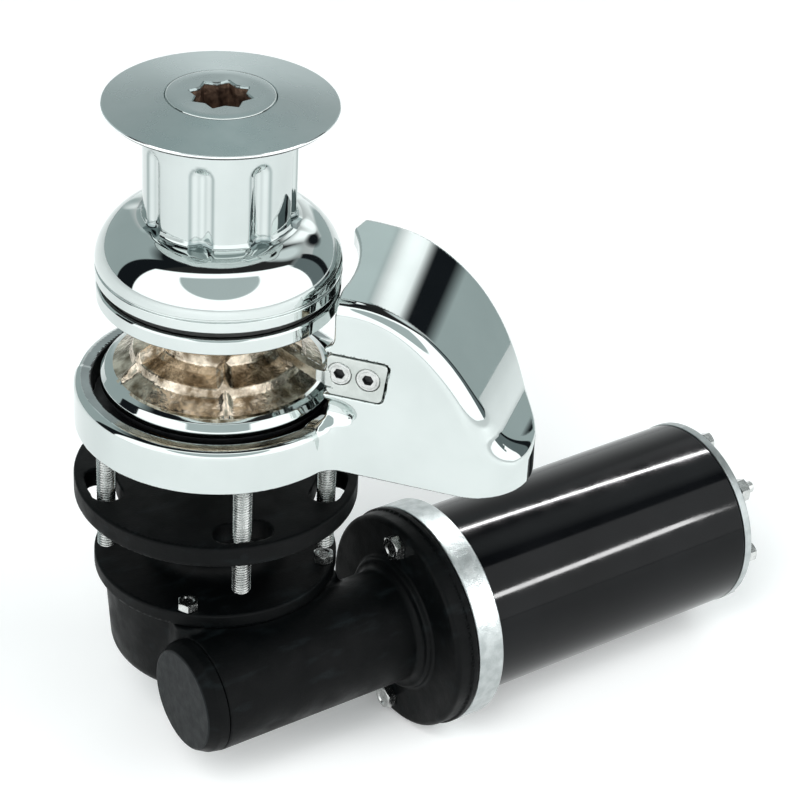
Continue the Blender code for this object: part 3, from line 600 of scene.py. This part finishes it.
def socket_screw(node, matrix, radius=4.95, hollow=2.0, deep=2.2, thick=2.4, foot=-6.6):
    """A screw with a hexagon socket: the socket, a face with a fine groove, the head and its shank."""
    sides = 6
    columns = sides * 16
    angle = np.linspace(0, math.tau, columns, endpoint=False)
    outline = hollow / np.cos((angle % (math.tau / sides)) - math.pi / sides)
    rings = [
        (0.0, -deep - 0.4), (outline, -deep), (outline, -0.25), (outline + 0.15, -0.05), (3.6, 0.0),
        (3.7, -0.12), (3.9, -0.12), (4.0, 0.0), (radius - 0.3, 0.0), (radius, -0.3), (radius, -thick),
        (2.5, -thick), (2.5, foot), (0.0, foot),
    ]
    # The socket's rows take the painted shadow.
    socket_shadow_rows = np.repeat(np.arange(len(rings) - 1) < 3, columns).astype(int)
    piece = add_piece(
        node + "_fine", stack_rings(rings, angle), grid_faces(len(rings), columns), [STEEL, PAINTED_SHADOW],
        node, matrix, socket_shadow_rows,
    )
    piece.data.set_sharp_from_angle(angle=math.radians(40))
    return piece


def flute_reach(height, angle):
    """0 along the middle of a flute, 1 at its edge and beyond."""
    pitch = math.tau / FLUTES
    offset = (angle + pitch / 2) % pitch - pitch / 2
    across = np.clip(np.abs(offset) * BARREL_RADIUS / FLUTE_HALF_WIDTH, 0, 1)
    above = np.clip((height - FLUTE_TOP + FLUTE_HALF_WIDTH) / FLUTE_HALF_WIDTH, 0, 1)
    below = np.clip((FLUTE_FOOT - height) / 4.5, 0, 1)
    return np.sqrt(np.clip(across**2 + above**2 + below**2, 0, 1))


def flute_shade(points):
    """How much painted reflection of the grey surroundings a flute's steep sides and foot are given."""
    radius, angle = np.hypot(points[:, 0], points[:, 1]), np.arctan2(points[:, 1], points[:, 0])
    reach = flute_reach(points[:, 2], angle)
    side = np.exp(-(((reach - 0.82) / 0.13) ** 2)) + 0.35 * np.exp(-(((reach - 0.25) / 0.12) ** 2))
    # A painted dark line along the flutes' foot.
    foot = np.exp(-(((points[:, 2] - 96.8) / 1.6) ** 2)) * (reach < 0.9)
    on_barrel = (radius > 27.0) & (radius < 33.0) & (points[:, 2] > 92.0) & (points[:, 2] < 136.0)
    return np.clip(side * 0.75 + foot, 0, 1) * on_barrel


def flute_push(radius, height, angle):
    """Eight flutes in the barrel, round at the top, that run down into the bell's foot."""
    dish = FLUTE_DEPTH * (0.5 + 0.5 * np.cos(math.pi * flute_reach(height, angle))) ** 0.8
    return radius - dish * (height < 140.0) * (height > 86.0), height


def bell_corners(count=70):
    """The bell's outside: a start at the barrel's foot, then a quarter superellipse out to the rim."""
    foot, edge, out = 96.0, 77.2, DRUM_RADIUS
    corners = [(BARREL_RADIUS + 0.5, foot + 0.6, 1.2)]
    for i in range(1, count + 1):
        turn = math.pi / 2 * i / count
        radius = BARREL_RADIUS + 2.2 + (out - BARREL_RADIUS - 2.2) * math.sin(turn) ** (2 / 1.7)
        height = edge + (foot - edge) * max(math.cos(turn), 0.0) ** (2 / 1.7)
        corners.append((radius, height, 0))
    return corners


def make_drum():
    corners = [(22.3, 148.55, 0), (DISC_RADIUS - 0.3, 145.45, 0.15), (DISC_RADIUS, 145.1, 0.2)]
    corners += [(DISC_RADIUS, 144.5, 0.2), (46.6, 144.1, 0.2), (45.6, 143.2, 0.4), (38.0, 140.9, 2.0)]
    corners += [(31.6, 139.4, 3.0), (BARREL_RADIUS, 136.0, 2.0)]
    corners += [(BARREL_RADIUS, 135.0 - i * 1.3, 0) for i in range(29)] + bell_corners()
    corners += [(DRUM_RADIUS, 75.6, 0.6), (49.3, 75.2, 0.3), (49.3, 74.6, 0.3), (DRUM_RADIUS, 74.3, 0.5)]
    corners += [(DRUM_RADIUS, 69.9, 0.7), (49.0, 69.3, 0.4), (46.0, 69.3, 0.5), (43.5, 72.0, 0.5)]
    corners += [(38.0, 84.0, 2.0), (24.0, 91.0, 2.0), (24.0, 100.0, 1.0), (9.4, 100.0, 0.3)]
    corners += [(9.4, 125.5, 0.3), (14.9, 125.5, 0.3), (14.9, 142.6, 0.3), (22.3, 142.6, 0.2)]
    points, faces = revolve(soften(corners), FINE_COLUMNS, flute_push)
    middle = points[faces].mean(1)
    face_radius = np.hypot(middle[:, 0], middle[:, 1])
    looks = np.where((middle[:, 2] > 145.3) & (face_radius > 22.2), 1, 0)
    looks[(middle[:, 2] > 144.45) & (face_radius > 46.65)] = 2
    # Under the top disc's rim, the painted shadow.
    looks[(middle[:, 2] > 143.0) & (middle[:, 2] <= 144.45) & (face_radius > 45.2)] = 3
    piece = add_piece(
        "drum_fine", points, faces, [DRUM_CHROME, SATIN_TOP, RIM, PAINTED_SHADOW], "drum", None, looks
    )
    # The flutes' painted reflection, stored on the points.
    shade = piece.data.attributes.new("shade", "FLOAT", "POINT")
    shade.data.foreach_set("value", flute_shade(points).astype(np.float32))


def make_clutch_nut():
    """The cap nut. Its socket's eight points come from two squares, one turned by 45 degrees."""
    columns = 8 * 40
    angle = np.linspace(0, math.tau, columns, endpoint=False)
    half_side = SOCKET_FLATS / 2 + 0.25
    squares = [
        half_side / np.maximum(np.abs(np.cos(angle - turn)), np.abs(np.sin(angle - turn)))
        for turn in (0.0, math.pi / 4)
    ]
    star = np.minimum(np.maximum(*squares), SOCKET_POINT)
    kernel = np.hanning(7)[1:-1] / np.hanning(7).sum()
    star = np.convolve(np.concatenate((star[-2:], star, star[:2])), kernel, "valid")
    rings = [(0.0, 136.8), (star * 0.6, 136.8), (star, 136.9), (star, 147.6), (star + 0.25, 148.4)]
    rings += [(star + 0.8, NUT_TOP), (star + 0.95, NUT_TOP), (17.5, NUT_TOP), (21.3, NUT_TOP)]
    rings += [(21.62, 148.7), (21.8, 148.3), (21.85, 148.0), (21.85, 143.2), (21.7, 143.0), (14.4, 143.0)]
    rings += [(14.4, 126.1), (8.4, 126.1), (8.4, 135.0), (0.0, 135.0)]
    looks = np.repeat([1, 1, 1] + [2] * 5 + [0] * (len(rings) - 9), columns)
    piece = add_piece(
        "clutch_nut_fine", stack_rings(rings, angle), grid_faces(len(rings), columns),
        [CHROME, SOCKET, SATIN_TOP], "clutch_nut", None, looks,
    )
    weld(piece)
    piece.data.set_sharp_from_angle(angle=math.radians(35))


def gypsy_push(radius, height, angle):
    """Ribs on each side of the gypsy's groove, with the pockets dished between them."""
    pitch = math.tau / GYPSY_POCKETS
    offset = np.abs((angle - RIB_START + pitch / 2) % pitch - pitch / 2) * radius
    rib = 0.5 + 0.5 * np.cos(math.pi * np.clip(offset / 3.4, 0, 1))
    inner = np.clip((radius - 24.0) / 3.0, 0, 1) * np.clip((44.5 - radius) / 2.0, 0, 1)
    lower = inner * (height > 25.5) * (height < 43.5)
    upper = inner * (height > 44.0) * (height < 58.7)
    raised = RIB_HEIGHT * rib * np.clip((47.0 - radius) / 16.0, 0.25, 1)
    return radius, height + raised * lower - raised * upper * 0.8


def make_gypsy():
    corners = [(42.6, 66.3, 0.4), (49.3, 66.3, 0.6), (49.8, 65.4, 0.5), (49.8, 60.0, 0.6)]
    corners += [(49.0, 59.2, 0.8), (46.0, 58.6, 1.0), (41.0, 55.0, 2.0), (36.0, 51.0, 2.0)]
    corners += [(30.0, 49.2, 2.0), (25.0, 47.0, 2.0), (24.6, 43.5, 2.0), (25.0, 39.5, 2.0)]
    corners += [(28.0, 37.2, 1.5), (35.0, 35.0, 1.2), (36.2, 31.4, 1.2), (40.0, 28.8, 2.0)]
    corners += [(43.0, 27.0, 0.6), (44.6, 26.6, 0.8), (46.6, 25.4, 1.5), (48.5, 22.5, 1.8)]
    corners += [(48.5, 19.5, 1.5), (47.0, 16.8, 1.5), (41.5, 12.5, 0.8), (40.0, 12.5, 0.4), (34.3, 21.5, 0.6)]
    corners += [(12.4, 21.5, 0.3), (12.4, 57.2, 0.3), (36.7, 57.2, 0.6)]
    points, faces = revolve(soften(corners), FINE_COLUMNS, gypsy_push)
    middle = points[faces].mean(1)
    face_radius = np.hypot(middle[:, 0], middle[:, 1])
    looks = ((face_radius > 43.4) & ((middle[:, 2] < 27.2) | (middle[:, 2] > 58.9))).astype(int)
    # Below the ring's top, inside the well, the gypsy takes the painted shadow.
    looks[middle[:, 2] < 20.2] = 2
    add_piece("chain_gypsy_fine", points, faces, [NICKEL, CHROME, PAINTED_SHADOW], "chain_gypsy", None, looks)


def threaded_rod(node, low, high, radius, pitch, place):
    """A rod with a real helical thread, its ends chamfered."""
    columns, per_turn = 28, 12
    rows = int((high - low) / pitch * per_turn)
    height = np.linspace(high, low, rows + 1)
    angle = np.linspace(0, math.tau, columns, endpoint=False)
    tall, turn = np.meshgrid(height, angle, indexing="ij")
    phase = (tall / pitch - turn / math.tau) % 1.0
    depth = 0.61 * pitch * np.clip(np.abs(phase - 0.5) * 2.4 - 0.1, 0, 1)
    ends = np.minimum(np.minimum(high - tall, tall - low) / 1.0, 1.0)
    size = np.minimum(radius - depth, radius - 1.1 + 1.1 * ends)
    points = np.stack((size * np.cos(turn) + place[0], size * np.sin(turn) + place[1], tall), -1)
    points = np.concatenate((points.reshape(-1, 3), [(*place, high), (*place, low)]))
    last = rows * columns
    top, foot = last + columns, last + columns + 1
    caps = [(top, c, (c + 1) % columns) for c in range(columns)]
    caps += [(foot, last + (c + 1) % columns, last + c) for c in range(columns)]
    faces = grid_faces(rows + 1, columns).tolist() + caps
    piece = add_piece(node + "_fine", points, faces, [STEEL], node)
    piece.data.set_sharp_from_angle(angle=math.radians(50))


def make_studs():
    for number, angle in enumerate(STUD_ANGLES, 1):
        node = f"deck_stud_{number}"
        low, high = box_mm(node)
        threaded_rod(node, low[2], high[2], 3.98, 1.25, polar(STUD_CIRCLE, angle))


# ---------------------------------------------------------------- below the deck


def flange_field(x, y, z):
    """The spool: a slotted disc, a filleted neck and the gearbox lid, hollow for the shaft."""
    radius = np.hypot(x, y)
    disc = round_common(radius - 60.2, np.abs(z + 30.35) - 4.65, 1.0)
    neck = np.maximum(radius - 26.0, np.abs(z + 50.0) - 20.0)
    lid = round_common(radius - 52.1, np.abs(z + 68.85) - 3.35, 1.0)
    body = round_union(disc, neck, 3.0)
    body = round_union(body, lid, 7.0)
    theta = np.arctan2(y, x)
    for angle in STUD_ANGLES:
        swing = (theta - math.radians(angle) + math.pi) % math.tau - math.pi
        held = np.clip(swing, -SLOT_SWING, SLOT_SWING) + math.radians(angle)
        slot = np.hypot(x - SLOT_CIRCLE * np.cos(held), y - SLOT_CIRCLE * np.sin(held)) - SLOT_HALF_WIDTH
        body = round_cut(body, np.maximum(slot, -45.0 - z), 0.6)
    bore = np.minimum(radius - 12.0, np.maximum(radius - 16.0, -33.4 - z))
    bore = np.minimum(bore, np.maximum(radius - 20.3, z + 60.2))
    return round_cut(body, bore, 0.4)


def case_field(x, y, z):
    """Pot, worm tube, motor flange and lid bosses, blended as one casting."""
    radius = np.hypot(x, y)
    cross = np.hypot(y - SHAFT_Y, z - SHAFT_Z)
    wall = radius - 49.7 - 0.073 * (z - CASE_TOP)
    pot = round_common(wall, -z - 114.3, 7.0)
    pot = np.maximum(pot, z - LID_SEAT)
    tube = round_common(cross - 25.1, np.maximum(x - 64.0, -37.3 - x), 0.7)
    body = round_union(pot, tube, 6.0)
    for angle in LID_BOLT_ANGLES:
        place = polar(LID_BOLT_CIRCLE, angle)
        boss = cylinder(x, y, z, place, 6.2, -86.0, LID_SEAT, 1.2)
        body = round_union(body, boss, 3.0)
    hub = round_common(cross - 30.0, np.maximum(x - 64.0, 58.2 - x), 1.6)
    face = round_common(cross - 48.3, np.maximum(x - 70.0, 61.0 - x), 2.2)
    collar = round_common(cross - 49.35, np.maximum(x - 71.5, 68.4 - x), 0.6)
    flange = np.minimum(round_union(hub, face, 1.5), collar)
    body = round_union(body, flange, 3.0)
    body = np.maximum(body, z - LID_SEAT - 60.0 * np.clip((x - 50.0) / 6.0, 0, 1))
    space = np.maximum(radius - 41.3, -105.5 - z)
    bore = cross - 17.5
    return round_cut(body, np.minimum(space, bore), 0.5)


def make_castings_below():
    sculpted("deck_flange_fine", flange_field, "deck_flange", [BLACK], 1.25)
    sculpted("gear_case_fine", case_field, "gear_case", [BLACK], 1.0)
    cap = turned(
        "worm_end_cap_fine",
        [(0, -33.5, 0), (17.2, -33.5, 0.3), (17.2, -37.6, 0.2), (24.9, -37.6, 0.3)]
        + [(24.2, -41.5, 3.0), (21.9, -45.6, 0.8), (21.0, -46.0, 0.5), (0, -46.0, 0)],
        CAP_BLACK, "worm_end_cap", ALONG_X,
    )
    cap.data.materials.append(BLACK)
    for face in cap.data.polygons:
        face.material_index = int(face.center.x > -45.7 * MM)


def hex_piece(node, place, seat, up, flats, head, shank, foot, matrix=None):
    """A hex bolt: a chamfered head on its seat, and a shank that runs either below it or up through it."""
    columns = 48
    angle = np.linspace(0, math.tau, columns, endpoint=False)
    hexagon = flats / 2 / np.cos((angle % (math.pi / 3)) - math.pi / 6)
    flat_radius = flats / 2 * 0.96
    fall = np.maximum(hexagon - flat_radius, 0) * 0.58
    top = seat + up * head
    if up * foot > up * top:
        rings = [(0.0, foot), (0.8 * shank, foot), (shank, foot - up * 0.6), (shank, top)]
    else:
        dish = seat + up * (head - 0.5)
        rings = [(0.0, dish), (0.55 * flat_radius, dish), (0.72 * flat_radius, top)]
    rings += [(flat_radius, top), (hexagon, seat + up * (head - fall)), (hexagon, seat + up * 0.05)]
    rings += [(hexagon, seat)]
    if up * foot < up * seat:
        rings += [(shank, seat), (shank, foot), (0.0, foot)]
    else:
        rings += [(0.0, seat)]
    faces = grid_faces(len(rings), columns)
    if up < 0:
        faces = faces[:, ::-1]
    piece = add_piece(node + "_fine", stack_rings(rings, angle, place), faces, [STEEL], node, matrix)
    weld(piece)
    piece.data.set_sharp_from_angle(angle=math.radians(25))


def motor_polar(radius, degrees):
    """A place in the motor's frame, whose local Z is world X. Degrees run from +Y towards +Z."""
    angle = math.radians(degrees)
    return -radius * math.sin(angle), radius * math.cos(angle)


def make_bolts():
    for number, angle in enumerate(LID_BOLT_ANGLES, 1):
        hex_piece(f"lid_bolt_{number}", polar(LID_BOLT_CIRCLE, angle), -65.2, 1, 8.0, 3.5, 2.5, -83.7)
    for number, angle in enumerate((90.0, -90.0), 1):
        node = f"motor_flange_bolt_{number}"
        hex_piece(node, motor_polar(40.0, angle), 60.7, -1, 10.0, 4.0, 3.0, 76.2, ALONG_X)
    for number, angle in enumerate((2.0, 92.0, 182.0, 272.0), 1):
        hex_piece(f"tie_bolt_{number}", motor_polar(38.0, angle), 229.6, 1, 8.0, 4.0, 2.0, 78.6, ALONG_X)
    for number, angle in enumerate((136.0, 226.0), 1):
        node = f"terminal_{number}"
        hex_piece(node, motor_polar(37.2, angle), 229.6, 1, 9.7, 4.8, 2.6, 239.0, ALONG_X)


def make_motor():
    radius, start, end = MOTOR_RADIUS, MOTOR_LOW[0], MOTOR_HIGH[0]
    turned(
        "motor_case_fine",
        [(40.1, end, 0.2), (radius, end, 0.5), (radius, start, 0.3), (40.1, start, 0.2)],
        GLOSS, "motor_case", ALONG_X, 256,
    )
    turned(
        "motor_front_bell_fine",
        [(31.0, 92.0, 0.2), (34.8, 92.0, 0.2), (34.8, 84.4, 0.2), (RING_RADIUS, 84.4, 0.9)]
        + [(RING_RADIUS, 71.8, 0.6), (8.0, 71.8, 0.2), (8.0, 74.2, 0.2), (16.3, 74.2, 0.2)]
        + [(16.3, 84.4, 0.2), (31.0, 84.4, 0.2)],
        ALUMINIUM, "motor_front_bell", ALONG_X, 256,
    )
    turned(
        "motor_end_cap_fine",
        [(0, 229.3, 0), (33.0, 229.3, 0.4), (33.4, 228.7, 0.4), (34.4, 228.7, 0.4), (34.8, 229.3, 0.4)]
        + [(42.9, 229.3, 0.9), (42.9, 225.3, 0.3), (34.0, 225.3, 0.2), (34.0, 217.0, 0.3)]
        + [(16.3, 217.0, 0.3), (16.3, 226.5, 0.3), (0, 226.5, 0)],
        ALUMINIUM, "motor_end_cap", ALONG_X, 256,
    )


# ---------------------------------------------------------------- floor, light and camera

CAMERA_PLACE = Vector((-0.50264, -0.82119, 0.61424))
CAMERA_RIGHT = Vector((0.82471, -0.56369, 0.04592))
CAMERA_UP = Vector((0.26787, 0.46084, 0.84609))
CAMERA_LENS = 122.47


def make_camera():
    camera = bpy.data.cameras.new("camera")
    camera.lens = CAMERA_LENS
    camera.sensor_width = 36.0
    camera.clip_start = 0.05
    holder = bpy.data.objects.new("camera", camera)
    back = CAMERA_RIGHT.cross(CAMERA_UP)
    turn = Matrix((CAMERA_RIGHT, CAMERA_UP, back)).transposed().to_4x4()
    holder.matrix_world = Matrix.Translation(CAMERA_PLACE) @ turn
    bpy.context.scene.collection.objects.link(holder)
    bpy.context.scene.camera = holder


def make_floor():
    """A pale floor that glows a little, so that it stays near white between the lights."""
    half, floor_z = 4.0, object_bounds()[0][2] - 0.0002
    mesh = bpy.data.meshes.new("floor")
    corners = ((-half, -half), (half, -half), (half, half), (-half, half))
    mesh.from_pydata([(*corner, floor_z) for corner in corners], [], [(0, 1, 2, 3)])
    made, tree, shader = node_tree("pale_floor")
    colour = tint(tree, add_noise(tree, 3.0), (0.90, 0.905, 0.905), (0.93, 0.935, 0.935))
    tree.links.new(colour, shader.inputs["Base Color"])
    shader.inputs["Roughness"].default_value = 0.85
    shader.inputs["Specular IOR Level"].default_value = 0.1
    shader.inputs["Emission Color"].default_value = (1, 1, 1, 1)
    shader.inputs["Emission Strength"].default_value = 0.17
    mesh.materials.append(made)
    floor = bpy.data.objects.new("floor", mesh)
    bpy.context.scene.collection.objects.link(floor)


def add_area(name, place, aim, size, power, hidden=False, only=()):
    """A soft rectangular light. A hidden one isn't mirrored in the chrome, and only names the pieces it
    lights, when it doesn't light all of them."""
    light = bpy.data.lights.new(name, "AREA")
    light.shape = "RECTANGLE"
    light.size, light.size_y = size
    light.energy = power
    holder = bpy.data.objects.new(name, light)
    holder.location = place
    direction = Vector(aim) - Vector(place)
    holder.rotation_euler = direction.to_track_quat("-Z", "Y").to_euler()
    holder.visible_glossy = not hidden
    if only:
        lit = bpy.data.collections.new(name + "_lit")
        for piece in only:
            lit.objects.link(bpy.data.objects[piece])
        holder.light_linking.receiver_collection = lit
    bpy.context.scene.collection.objects.link(holder)


def add_card(tree, last, colour, *edges):
    """A card of one colour on the studio's walls. Each edge is a direction, and the values of its dot
    product with the view between which the card comes in."""
    place = tree.nodes.new("ShaderNodeTexCoord")
    share = None
    for direction, start, full in edges:
        towards = tree.nodes.new("ShaderNodeVectorMath")
        towards.operation = "DOT_PRODUCT"
        towards.inputs[1].default_value = direction
        tree.links.new(place.outputs["Generated"], towards.inputs[0])
        inside = spread(tree, towards.outputs["Value"], 0.0, 1.0, start, full)
        if share is not None:
            both = tree.nodes.new("ShaderNodeMath")
            both.operation = "MULTIPLY"
            tree.links.new(share, both.inputs[0])
            tree.links.new(inside, both.inputs[1])
            inside = both.outputs["Value"]
        share = inside
    mix = tree.nodes.new("ShaderNodeMix")
    mix.data_type = "RGBA"
    tree.links.new(share, mix.inputs["Factor"])
    tree.links.new(last, mix.inputs["A"])
    mix.inputs["B"].default_value = (*colour, 1)
    return mix.outputs["Result"]


def add_round_card(tree, last, direction, inner, outer, colour):
    """A round card. Its soft edge runs between two angles from its middle, in degrees."""
    start, full = math.cos(math.radians(outer)), math.cos(math.radians(inner))
    return add_card(tree, last, colour, (Vector(direction).normalized(), start, full))


def before(azimuth):
    """The level direction at right angles to an azimuth in degrees, on the side of the smaller ones."""
    return math.sin(math.radians(azimuth)), -math.cos(math.radians(azimuth)), 0.0


def past(azimuth):
    return before(azimuth + 180)


def make_walls(tree):
    """White walls that fall off upwards into a black ceiling."""
    place = tree.nodes.new("ShaderNodeTexCoord")
    split = tree.nodes.new("ShaderNodeSeparateXYZ")
    tree.links.new(place.outputs["Generated"], split.inputs["Vector"])
    ramp = tree.nodes.new("ShaderNodeValToRGB")
    walls = ((0.0, 1.0), (0.25, 0.85), (0.44, 0.55), (0.60, 0.50), (0.70, 0.03), (1.0, 0.02))
    while len(ramp.color_ramp.elements) < len(walls):
        ramp.color_ramp.elements.new(0.5)
    for element, (position, grey) in zip(ramp.color_ramp.elements, walls):
        element.position = position
        element.color = (grey * 0.96, grey, grey, 1)
    tree.links.new(split.outputs["Z"], ramp.inputs["Fac"])
    return ramp.outputs["Color"]


def make_world():
    """A studio: walls and ceiling, one big soft box in front, and cards for the chrome to mirror."""
    world = bpy.data.worlds.new("studio")
    bpy.context.scene.world = world
    world.use_nodes = True
    tree = world.node_tree
    last = make_walls(tree)
    black, dark = (0.008, 0.010, 0.012), (0.13, 0.16, 0.165)
    grey, white = (0.34, 0.40, 0.40), (1.2, 1.24, 1.24)
    left, back, down = (-1.0, 0.0, 0.0), (0.0, 1.0, 0.0), (0.0, 0.0, -1.0)
    front, front_and_down = (-0.42, -0.906, 0.0), (-0.42, -0.906, -1.17)
    sharp = (-0.01, 0.01)
    # Left of the soft box stands a black flag, and past it a grey wall that runs round the back.
    last = add_card(tree, last, black, (before(163), *sharp), (left, -0.02, 0.02))
    last = add_card(
        tree, last, grey,
        (before(137), *sharp), (down, -0.86, -0.76), (left, -0.35, -0.20), (back, 0.0, 0.05),
    )
    last = add_round_card(tree, last, (0.90, 0.42, 0.05), 14, 18, grey)
    # The soft box, then a grey wall, a thin black flag and a dark wall to its right.
    last = add_card(tree, last, (1.35, 1.38, 1.38), (front, 0.03, 0.05), (front_and_down, -0.80, -0.77))
    last = add_round_card(tree, last, (0.985, -0.02, 0.12), 19.5, 20.5, grey)
    last = add_card(tree, last, black, (past(-30), *sharp), (before(-5.7), *sharp), (down, -0.64, -0.60))
    last = add_card(tree, last, dark, (past(-30), *sharp), (before(-13.3), *sharp), (down, -0.70, -0.62))
    # A grey bowl in the middle of the soft box.
    bowl = (-0.308, -0.533, 0.788)
    last = add_card(tree, last, (0.44, 0.50, 0.50), (bowl, 0.85, 0.866), (front_and_down, -0.60, -0.54))
    # What the hood's top mirrors, high up at the back and to the right.
    for card in (
        ((0.06, 0.36, 0.93), 5, 9, white), ((0.37, 0.60, 0.70), 7, 14, (0.52, 0.60, 0.60)),
        ((0.62, 0.02, 0.78), 7, 15, (0.70, 0.76, 0.76)),
        ((0.70, 0.44, 0.555), 5, 14, white), ((0.86, 0.22, 0.455), 5, 11, black),
    ):
        last = add_round_card(tree, last, *card)
    background = tree.nodes["Background"]
    background.inputs["Strength"].default_value = 1.25
    tree.links.new(last, background.inputs["Color"])


def make_lights():
    """Two soft lights, and two strips that draw the bright lines along the motor."""
    motor = ("motor_case_fine", "motor_front_bell_fine")
    add_area("key", (-1.1, -0.9, 1.5), (0.05, 0, 0), (0.9, 0.9), 22.0, hidden=True)
    add_area("fill", (1.3, -1.2, 0.8), (0.05, 0, 0), (0.8, 1.2), 9.0, hidden=True)
    add_area("motor_strip", (1.03, 0.52, 1.15), (0.15, -0.05, -0.05), (0.70, 0.035), 12.0, only=motor)
    add_area("motor_strip_low", (0.72, -1.02, 0.44), (0.12, -0.08, -0.07), (0.40, 0.09), 6.0, only=motor)


bpy.context.scene.view_settings.view_transform = "Standard"
dress_cad_nodes()
make_base()
make_stripper()
make_drum()
make_clutch_nut()
make_gypsy()
make_studs()
make_castings_below()
make_bolts()
make_motor()
make_floor()
make_world()
make_lights()
make_camera()
